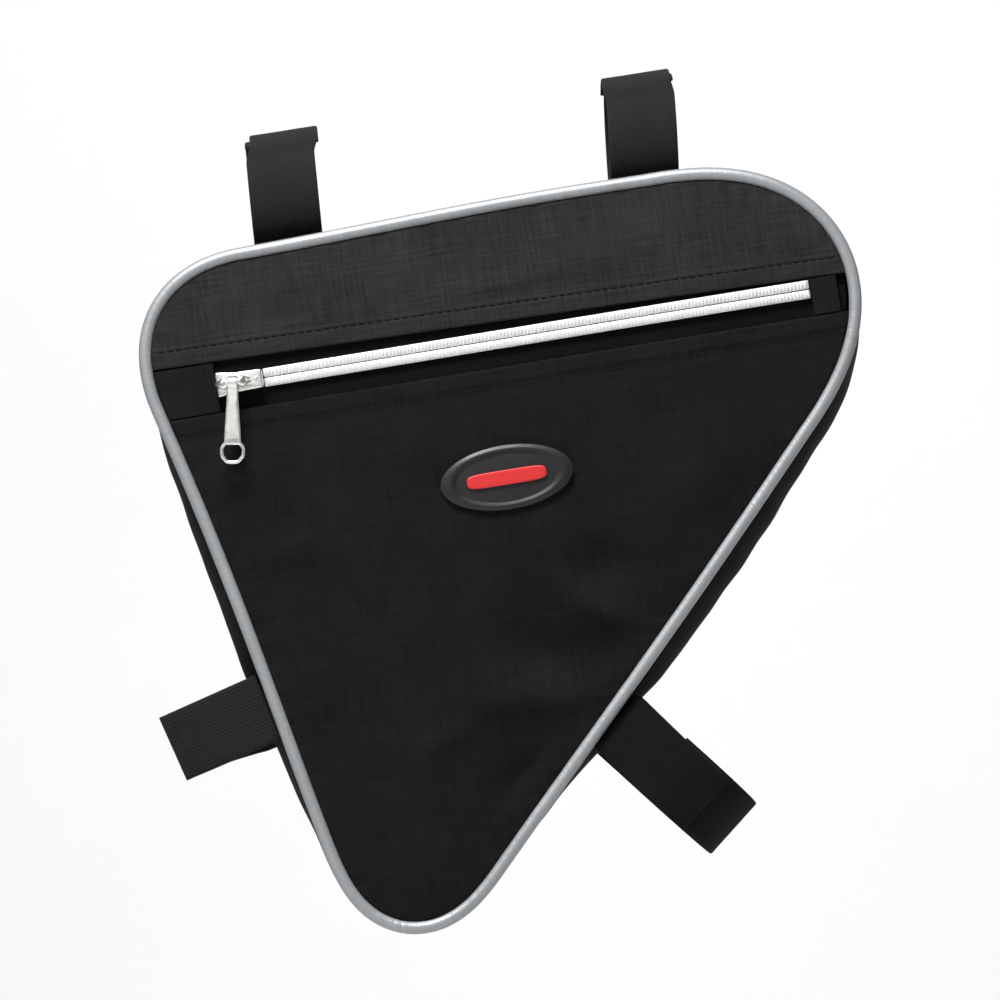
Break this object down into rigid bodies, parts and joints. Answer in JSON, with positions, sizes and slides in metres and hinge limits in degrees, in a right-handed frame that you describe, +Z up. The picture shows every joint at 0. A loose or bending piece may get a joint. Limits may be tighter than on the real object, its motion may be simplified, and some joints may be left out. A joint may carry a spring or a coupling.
{
  "type": "bicycle frame bag",
  "caption": "Black woven triangular bag that hangs in a bicycle frame, with a zip across its front, grey piping, an oval badge and hook-and-loop straps.",
  "frame": {"origin": "on the axis of the top tube that the bag hangs from, midway between the two top straps", "axes": "+Z up, +X towards the bicycle's front wheel, -Y out of the bag's front with the zip; the top tube rises 9.3 degrees towards +X"},
  "size_m": [0.2717, 0.0684, 0.3262],
  "materials": {
    "cloth": "black coated polyester, fine plain weave, dull",
    "piping": "smooth grey reflective tape over a round cord",
    "tape": "black woven zip tape",
    "coil": "silver-coated nylon coil",
    "zip_metal": "bright nickel plate on cast zinc",
    "badge_rubber": "moulded soft rubber, satin",
    "badge_red": "moulded red soft rubber, satin",
    "strap": "dark grey hook-and-loop webbing, matt"
  },
  "bodies": {
    "bag": {"front_panel_upper": "cloth", "front_panel_lower": "cloth", "back_panel": "cloth", "gusset": "cloth", "piping": "piping", "zip_tape_upper": "tape", "zip_tape_lower": "tape", "zip_coil_upper": "coil", "zip_coil_lower": "coil", "zip_patch_rear": "tape", "zip_patch_front": "tape", "zip_slider": "zip_metal", "badge": "badge_rubber", "badge_bar": "badge_red", "strap_top_rear": "strap", "strap_top_front": "strap", "strap_down_tube": "strap", "strap_rear_tab": "strap"},
    "pull": {"zip_pull": "zip_metal"}
  },
  "joints": [
    {"name": "zip_pull_swing", "type": "hinge", "parent": "bag", "child": "pull", "pos_m": [-0.0832, -0.03442, -0.08202], "axis": [-0.9849, 0.0627, -0.1613], "range_deg": [-5, 175]}
  ]
}
